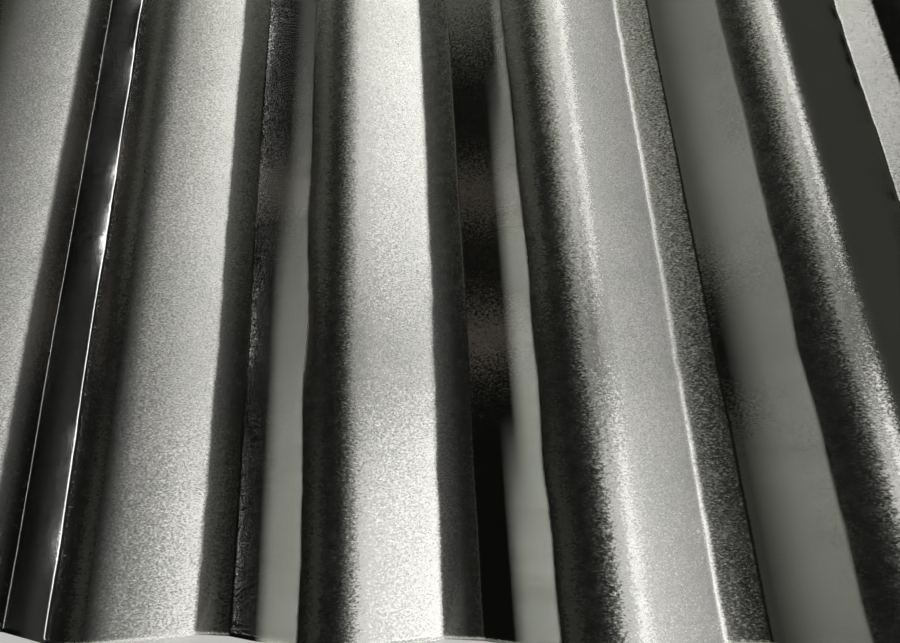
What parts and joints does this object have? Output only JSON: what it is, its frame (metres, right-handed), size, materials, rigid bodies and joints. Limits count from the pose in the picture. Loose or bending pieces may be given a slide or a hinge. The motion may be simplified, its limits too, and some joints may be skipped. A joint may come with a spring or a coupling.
{
  "type": "corrugated metal sheet",
  "caption": "Zinc-coated steel sheet roll-formed into straight parallel waves, for covering roofs and walls or making fences.",
  "frame": {"origin": "middle of the sheet, on the plane that its valleys rest on", "axes": "flutes along Y, the pictured near end towards -Y; waves across X; crests towards +Z"},
  "size_m": [0.6604, 1.829, 0.0132],
  "materials": {
    "zinc_coated_steel": "satin zinc coating with a fine grain and faint roll marks across the flutes"
  },
  "bodies": {
    "root": {"corrugated_sheet": "zinc_coated_steel"}
  },
  "joints": []
}
